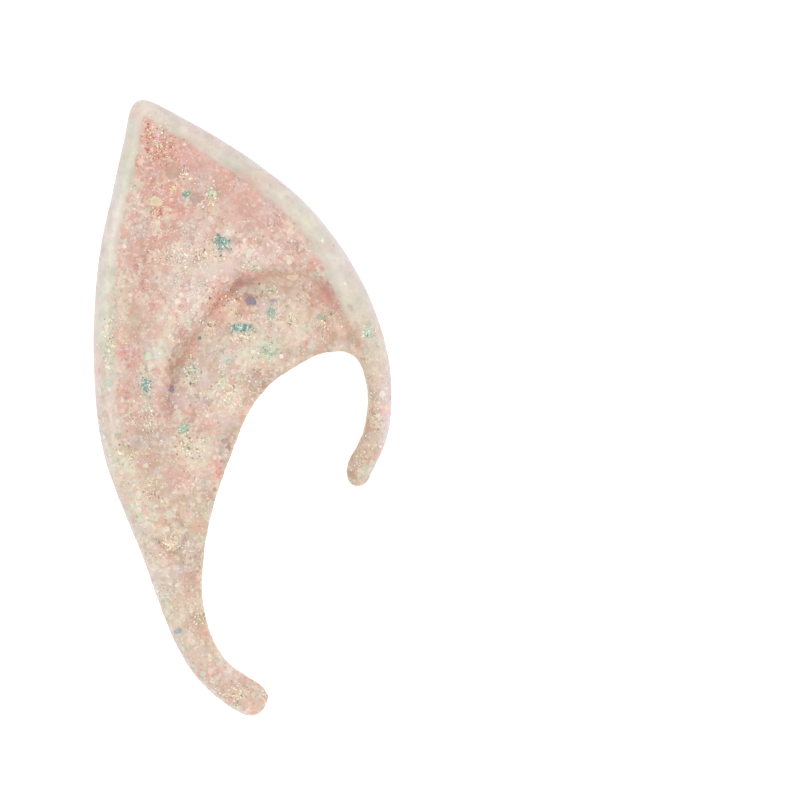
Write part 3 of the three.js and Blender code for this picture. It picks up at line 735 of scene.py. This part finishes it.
# The shapes of flakes, one unit across, as corners and faces: a hexagon of film, and a chip too small
# to show more than a spark
HEXAGON = [(math.cos(a) / 2, math.sin(a) / 2) for a in np.arange(6) * math.pi / 3]
FILM = (
    np.array([(x, y, half) for half in (0.5, -0.5) for x, y in HEXAGON]),
    [
        tuple(range(6)),
        tuple(range(11, 5, -1)),
        *[(i, i + 6, (i + 1) % 6 + 6, (i + 1) % 6) for i in range(6)],
    ],
)
CHIP = (
    np.array([(0.5, 0, 0), (0, 0.5, 0), (-0.5, 0, 0), (0, -0.5, 0), (0, 0, 0.5), (0, 0, -0.5)]),
    [(0, 1, 4), (1, 2, 4), (2, 3, 4), (3, 0, 4), (1, 0, 5), (2, 1, 5), (3, 2, 5), (0, 3, 5)],
)
UNEVEN_CUT = (0.84, 1.08)
UNEVEN_TINT = (0.92, 1.05)
FACES_ALONG = 0.8  # a flake that faces along the ear by more than this is turned from the upright


def lay(draw, name, shape, middles, ups, turns, sizes, tints):
    """One piece of many flakes, each turned, sized, cut a little unevenly and laid flat to the skin."""
    helper = np.where(np.abs(ups[:, 1:2]) < FACES_ALONG, [[0, 1.0, 0]], [[0, 0, 1.0]])
    first = np.cross(helper, ups)
    first /= np.linalg.norm(first, axis=1)[:, None]
    second = np.cross(ups, first)
    cos, sin = np.cos(turns)[:, None], np.sin(turns)[:, None]
    right = cos * first + sin * second
    ahead = cos * second - sin * first
    corners, faces = shape
    uneven = draw.uniform(*UNEVEN_CUT, (len(middles), len(corners) // 2, 1))
    spread = corners[None] * sizes[:, None] * np.tile(uneven, (1, 2, 1))
    turned = sum(spread[:, :, i : i + 1] * axis[:, None] for i, axis in enumerate((right, ahead, ups)))
    laid = middles[:, None] + turned
    laid[:, :, 2] = np.maximum(laid[:, :, 2], 0)
    count = len(corners)
    every = [tuple(v + count * i for v in face) for i in range(len(middles)) for face in faces]
    mesh = bpy.data.meshes.new(name)
    mesh.from_pydata((laid.reshape(-1, 3) * MM).tolist(), [], every)
    keep_colours(mesh, "tint", np.repeat(tints, count, axis=0))
    mesh.materials.append(glitter_film)
    piece = new_object(name, mesh)
    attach(piece, "root")


def scattered(draw, count, density):
    """Places all over the skin, as many in a patch as its area and the density there give."""
    shell.calc_loop_triangles()
    corners = np.empty(len(shell.loop_triangles) * 3, np.int32)
    shell.loop_triangles.foreach_get("vertices", corners)
    corners = corners.reshape(-1, 3)
    a, b, c = (points[corners[:, i]] for i in range(3))
    area = np.linalg.norm(np.cross(b - a, c - a), axis=1) / 2
    chance = area * density[corners].mean(axis=1)
    chosen = corners[draw.choice(len(corners), count, p=chance / chance.sum())]
    share = draw.random((count, 2))
    over = share.sum(axis=1) > 1
    share[over] = 1 - share[over]
    weights = np.column_stack([1 - share.sum(axis=1), share])
    middles = (points[chosen] * weights[:, :, None]).sum(axis=1)
    ups = (normals[chosen] * weights[:, :, None]).sum(axis=1)
    under = (ground[chosen] * weights[:, :, None]).sum(axis=1)
    return middles, ups / np.linalg.norm(ups, axis=1)[:, None], under


def tilted(draw, ups, most):
    """The same directions, each leaned over by up to about this many degrees."""
    leaned = ups + draw.normal(0, math.tan(math.radians(most)) / 2, ups.shape)
    return leaned / np.linalg.norm(leaned, axis=1)[:, None]


def picked(draw, palette, under, veil):
    """Colours from a palette of hex values and weights, seen through a veil of the latex over them."""
    weights = np.array([w for _, w in palette], float)
    colours = np.array([linear(code)[:3] for code, _ in palette])
    chosen = colours[draw.choice(len(palette), len(under), p=weights / weights.sum())]
    chosen = chosen * draw.uniform(*UNEVEN_TINT, (len(under), 1))
    return np.clip(chosen + (under - chosen) * draw.uniform(*veil, (len(under), 1)), 0, 1)


# Flakes are few in the rim, above all in its upper part, and gather in drifts elsewhere. No medium one
# hangs over an edge, and the walls and the pocket hold fewer than the face and the back.
SEED = 11
OFF_RIM = 0.35  # share of the flakes that the whole rim lacks
OFF_UPPER_RIM = 0.6  # share that its upper part lacks besides
OFF_CALM = 0.8  # share that the calmest skin lacks
IN_WALLS = 0.35  # share that the walls and the pocket have
OFF_EDGE = (0.3, 1.3)  # from an edge, where medium flakes start and where they are all there
DRIFT_SIZE = 4.5
DRIFT_SHIFT = 40  # so that the drifts don't follow the swells
BETWEEN_DRIFTS = 0.06  # share of the fine ones between the drifts
rim_clear = rim * (OFF_RIM + OFF_UPPER_RIM * smooth(along_ear, -25, 10))
drift = np.array([noise.noise(Vector(p / DRIFT_SIZE + DRIFT_SHIFT)) for p in points])
edges_clear = smooth(to_inner, *OFF_EDGE) * smooth(to_outline, *OFF_EDGE)
back = smooth(-normals[:, 2], 0, 0.5) * (points[:, 2] < 1)
showing = IN_WALLS + (1 - IN_WALLS) * np.where(face_up > 0.5, 1, back)
medium_density = (1 - rim_clear) * edges_clear * showing * (1 - OFF_CALM * calm)
gathered = BETWEEN_DRIFTS + smooth(drift, -0.1, 0.4)
fine_density = (1 - rim_clear) * showing * (1 - OFF_CALM * calm) * gathered
draw = np.random.default_rng(SEED)

# Medium flakes are 0.5 to 1.7 mm long, with few of the longest, and a little narrower than long
MEDIUM_FLAKES = 2600
MEDIUM_THICKNESS = 0.08
MEDIUM_TILT = 8  # degrees off the skin
MEDIUM_VEIL = (0.5, 0.92)  # how much of the latex's own colour lies over them, from and to
MEDIUM_TINTS = [
    ("#EBDCC4", 4),
    ("#E8C2B6", 4),
    ("#DD9F90", 1.6),
    ("#CFDDC6", 1.5),
    ("#D9C6D0", 1),
    ("#F6EEE0", 2),
    ("#BCA48F", 1.2),
    ("#9CC4B6", 0.3),
]
middles, ups, under = scattered(draw, MEDIUM_FLAKES, medium_density)
across = draw.uniform(0.5, 1.0, MEDIUM_FLAKES) + draw.uniform(0, 0.9, MEDIUM_FLAKES) ** 3
thick = np.full(MEDIUM_FLAKES, MEDIUM_THICKNESS)
sizes = np.column_stack([across, across * draw.uniform(0.8, 1, MEDIUM_FLAKES), thick])
lay(
    draw,
    "flakes_medium",
    FILM,
    middles,
    tilted(draw, ups, MEDIUM_TILT),
    draw.uniform(0, math.pi, MEDIUM_FLAKES),
    sizes,
    picked(draw, MEDIUM_TINTS, under, MEDIUM_VEIL),
)

# Glitter dust of 0.05 to 0.2 mm is too fine to show, so its specks are drawn 0.18 to 0.53 mm long
FINE_FLAKES = 16000
FINE_TILT = 20  # degrees off the skin
FINE_VEIL = (0.1, 0.5)
CHIP_BREADTH = (0.35, 0.9)  # a chip's breadth, as a share of its length
# The white and cream specks are partly the glitter's own pale colour and partly painted glints
FINE_TINTS = [
    ("#FFFEF8", 5),
    ("#FFF2D0", 4.5),
    ("#F0CFC2", 1.0),
    ("#E0F0E0", 0.8),
    ("#E8DEEE", 0.5),
    ("#A58B7C", 1.2),
    ("#7C6C64", 0.25),
]
middles, ups, under = scattered(draw, FINE_FLAKES, fine_density)
across = 0.18 + 0.35 * draw.random(FINE_FLAKES) ** 2
sizes = np.column_stack([across, across * draw.uniform(*CHIP_BREADTH, FINE_FLAKES), across * 0.4])
lay(
    draw,
    "specks_fine",
    CHIP,
    middles,
    tilted(draw, ups, FINE_TILT),
    draw.uniform(0, math.pi, FINE_FLAKES),
    sizes,
    picked(draw, FINE_TINTS, under, FINE_VEIL),
)

# The skin as seen from straight above, for the flakes that are placed by the photograph
ABOVE = 50  # rays start from this height
DOWN = Vector((0, 0, -1))
NEIGHBOURS = 40  # a flake lies as the mean of this many vertices does
skin = KDTree(len(points))
for i, p in enumerate(points):
    skin.insert(p, i)
skin.balance()
surface = BVHTree.FromPolygons(points.tolist(), [tuple(p.vertices) for p in shell.polygons])


def seen_from_above(across, along):
    """The point of the skin that is seen from above at a place, or None beside the ear."""
    return surface.ray_cast(Vector((across, along, ABOVE)), DOWN)[0]


def from_above(places):
    """Where places seen from above lie on the skin, which way it faces there, and its colour."""
    middles, ups, under = [], [], []
    for across, along in places:
        hit = seen_from_above(across, along)
        near = [found[1] for found in skin.find_n(hit, NEIGHBOURS)]
        up = normals[near].mean(axis=0)
        middles.append(hit)
        ups.append(up / np.linalg.norm(up))
        under.append(ground[near].mean(axis=0))
    return np.array(middles), np.array(ups), np.array(under)


# The flakes that stand out most, by the photograph's pixels: middle, length and breadth in millimetres,
# turn in degrees, and colour
TEAL = "#5F9C8A"
TEAL_GREY = "#8AA79E"
VIOLET = "#837C9A"
LARGE_FLAKES = [
    (157, 202, 3.1, 2.3, -20, "#EBDCB8"),
    (173, 173, 3.1, 2.8, 10, "#C4A794"),
    (197, 198, 2.8, 2.3, 0, "#BDA08F"),
    (187, 194, 1.8, 1.3, 25, TEAL),
    (173, 189, 1.6, 1.4, 15, "#F0CF8E"),
    (141, 162, 2.0, 1.8, 0, "#EBC3B0"),
    (213, 195, 1.9, 1.5, 60, "#E3E6BE"),
    (223, 243, 2.4, 2.0, 20, TEAL_GREY),
    (199, 215, 2.6, 2.2, 10, "#E5C4B4"),
    (251, 301, 2.2, 2.0, 0, VIOLET),
    (254, 303, 1.2, 1.0, 30, "#6F7F92"),
    (273, 301, 1.0, 0.8, 0, "#9C8FC0"),
    (241, 329, 3.6, 1.0, 10, "#5FA0A2"),
    (272, 313, 1.6, 2.4, 0, TEAL_GREY),
    (293, 276, 2.8, 2.4, 20, "#DCC9A8"),
    (303, 318, 3.1, 2.9, 10, "#DFC5AC"),
    (147, 384, 2.0, 1.2, 80, "#62A09C"),
    (171, 388, 2.2, 1.5, -20, VIOLET),
    (183, 429, 2.0, 1.7, 30, "#8ABBA5"),
    (150, 356, 2.0, 1.7, 60, MINT),
    (178, 631, 2.3, 1.0, 15, "#95A6B8"),
    (109, 383, 1.8, 1.4, 0, "#A9C6A8"),
    (320, 317, 1.4, 1.2, 0, "#A5C4B2"),
    (368, 331, 1.8, 1.4, 0, "#B5D4BE"),
    (200, 338, 0.9, 0.9, 0, "#55604F"),
    (225, 441, 1.5, 1.0, 0, "#A58C80"),
    (230, 362, 1.6, 1.2, 30, "#A9BFA9"),
]
LARGE_THICKNESS = 0.2
LARGE_SHOW = 0.75  # share of their own colour, the rest being the latex over them
xs, ys, lengths, breadths, turns, codes = zip(*LARGE_FLAKES)
middles, ups, under = from_above([from_pixel(x, y) for x, y in zip(xs, ys)])
own = np.array([linear(code)[:3] for code in codes])
lay(
    draw,
    "flakes_large",
    FILM,
    middles,
    ups,
    np.radians(turns),
    np.column_stack([lengths, breadths, np.full(len(xs), LARGE_THICKNESS)]),
    LARGE_SHOW * IN_BRIGHT_LIGHT * own + (1 - LARGE_SHOW) * under,
)

# Where fine glitter has gathered, by the photograph's pixels: middle, half width and half height in
# millimetres, number of flakes and which mix
# In each mix the white and cream chips are partly the glitter's own pale colour and partly painted glints
GOLD_MIX = [("#FFFBEC", 3), ("#FFF1CC", 5), ("#EDD7A8", 1.5), ("#E6C4AC", 2), ("#98806C", 1.4)]
WHITE_MIX = [("#FFFBEC", 4), ("#FFF3D4", 4), ("#E9F5E6", 1), ("#E8CDBC", 2), ("#A08A7A", 1)]
MINT_MIX = [("#F2FBEC", 3), ("#CFE6CC", 4), ("#A3CBAE", 2.5), ("#FFF3CC", 2.5), ("#748A74", 0.8)]
TEAL_MIX = [("#EAF4EC", 2), ("#8FBFB6", 4), ("#5A9890", 3.5), ("#FFF6DD", 1)]
CORAL_MIX = [("#FFEFE2", 3), ("#F2A992", 4), ("#D9705F", 2), ("#FFE3B0", 2), ("#8F5E50", 0.8)]
CLUSTERS = [
    (160, 130, 2.6, 1.6, 30, WHITE_MIX),
    (150, 138, 1.0, 2.6, 30, CORAL_MIX),
    (163, 151, 2.4, 1.6, 28, GOLD_MIX),
    (160, 147, 2.6, 2.0, 40, CORAL_MIX),
    (186, 172, 1.0, 1.4, 24, WHITE_MIX),
    (173, 189, 0.9, 0.9, 20, GOLD_MIX),
    (188, 192, 0.8, 0.6, 12, MINT_MIX),
    (214, 195, 1.4, 1.6, 40, MINT_MIX),
    (158, 212, 1.8, 1.2, 34, CORAL_MIX),
    (210, 205, 2.0, 2.0, 36, GOLD_MIX),
    (223, 244, 1.7, 1.6, 70, TEAL_MIX),
    (182, 258, 5.0, 2.6, 120, WHITE_MIX),
    (205, 256, 3.0, 2.0, 50, GOLD_MIX),
    (250, 268, 3.2, 1.2, 24, WHITE_MIX),
    (215, 300, 3.0, 2.6, 50, CORAL_MIX),
    (210, 328, 2.6, 2.0, 50, GOLD_MIX),
    (233, 303, 1.6, 2.0, 30, GOLD_MIX),
    (268, 290, 2.2, 1.4, 30, MINT_MIX),
    (272, 314, 1.0, 2.2, 34, MINT_MIX),
    (242, 328, 1.9, 0.9, 80, TEAL_MIX),
    (243, 336, 2.4, 1.0, 36, WHITE_MIX),
    (290, 320, 1.4, 1.2, 22, GOLD_MIX),
    (192, 368, 1.2, 3.0, 70, MINT_MIX),
    (270, 352, 2.2, 2.4, 50, MINT_MIX),
    (231, 390, 4.0, 3.6, 90, GOLD_MIX),
    (147, 386, 1.2, 2.0, 40, TEAL_MIX),
    (148, 415, 1.2, 3.6, 60, WHITE_MIX),
    (184, 429, 1.2, 1.4, 34, MINT_MIX),
    (190, 447, 3.0, 2.4, 60, GOLD_MIX),
    (111, 330, 1.4, 3.6, 60, GOLD_MIX),
    (109, 355, 1.4, 3.6, 60, MINT_MIX),
    (330, 318, 2.4, 2.0, 30, MINT_MIX),
    (369, 333, 1.4, 1.2, 30, MINT_MIX),
    (128, 456, 3.0, 2.0, 50, GOLD_MIX),
    (150, 488, 2.6, 3.0, 60, GOLD_MIX),
    (172, 542, 2.6, 2.2, 40, GOLD_MIX),
    (203, 619, 1.6, 1.6, 36, GOLD_MIX),
    (236, 694, 2.6, 2.0, 50, GOLD_MIX),
    (362, 458, 1.6, 4.0, 40, GOLD_MIX),
    (376, 420, 1.2, 5.0, 40, GOLD_MIX),
]
CLUSTER_FULLNESS = 1.7  # flakes laid for each one in the list
CLUSTER_SPREAD = 0.55  # how far they stray, as a share of the half width and half height
CLUSTER_LIFT = 0.08  # off the skin, over the other flakes
CLUSTER_TILT = 25  # degrees off the skin
CLUSTER_VEIL = (0, 0.2)
cluster_places, cluster_mixes = [], []
for x, y, half_width, half_height, count, mix in CLUSTERS:
    flakes = int(count * CLUSTER_FULLNESS)
    spread = draw.normal(0, CLUSTER_SPREAD, (flakes, 2)) * (half_width, half_height)
    for across, along in spread + from_pixel(x, y):
        if seen_from_above(across, along):
            cluster_places.append((across, along))
            cluster_mixes.append(mix)
middles, ups, under = from_above(cluster_places)
middles += ups * CLUSTER_LIFT
tints = np.vstack([picked(draw, mix, u[None], CLUSTER_VEIL) for mix, u in zip(cluster_mixes, under)])
# They are 0.2 to 0.95 mm long, with few of the longest
across = 0.2 + 0.35 * draw.random(len(middles)) + 0.4 * draw.random(len(middles)) ** 6
sizes = np.column_stack([across, across * draw.uniform(*CHIP_BREADTH, len(middles)), across * 0.5])
turns = draw.uniform(0, math.pi, len(middles))
lay(draw, "specks_gathered", CHIP, middles, tilted(draw, ups, CLUSTER_TILT), turns, sizes, tints)

# A plain pale floor of paper under a broad white light, with a soft key light almost straight above,
# in metres and watts
HALF_FLOOR = 3.0
PAPER_GLOW = 0.38
SKY_GLOW = 0.8
KEY_PLACE = (0.1, -0.08, 0.85)
KEY_SIZE = 1.0
KEY_WATTS = 3.4
floor_mesh = bpy.data.meshes.new("floor")
floor_corners = [
    (x * HALF_FLOOR, y * HALF_FLOOR, -FLOOR_GAP * MM) for x, y in [(-1, -1), (1, -1), (1, 1), (-1, 1)]
]
floor_mesh.from_pydata(floor_corners, [], [(0, 1, 2, 3)])
floor_mesh.materials.append(uncoated_paper())
floor = new_object("floor", floor_mesh)

world = bpy.data.worlds.new("studio")
bpy.context.scene.world = world
world.use_nodes = True
sky = world.node_tree.nodes["Background"]
sky.inputs["Color"].default_value = linear(WHITE)
sky.inputs["Strength"].default_value = SKY_GLOW

key_light = bpy.data.lights.new("key", "AREA")
key_light.shape = "DISK"
key_light.size = KEY_SIZE
key_light.energy = KEY_WATTS
key = new_object("key", key_light)
key.location = KEY_PLACE
key.rotation_euler = (-key.location).to_track_quat("-Z", "Y").to_euler()

# The camera looks straight down through a long lens, with the ear where the photograph has it. Its
# height is in millimetres, and so is its sensor's width.
CAMERA_HEIGHT = 1500
CAMERA_MIDDLE = 5  # height of the ear at which the scale is right
SENSOR_WIDTH = 36
FAR_CLIP = 20  # metres
across, along = from_pixel(PHOTO_SIDE / 2, PHOTO_SIDE / 2)
camera_data = bpy.data.cameras.new("camera")
camera_data.sensor_width = SENSOR_WIDTH
camera_data.lens = SENSOR_WIDTH * CAMERA_HEIGHT / (PHOTO_SIDE / PIXELS_PER_MM)
camera_data.clip_end = FAR_CLIP
camera = new_object("camera", camera_data)
camera.location = Vector((across, along, CAMERA_HEIGHT + CAMERA_MIDDLE)) * MM
bpy.context.scene.camera = camera
bpy.context.scene.view_settings.view_transform = "Standard"
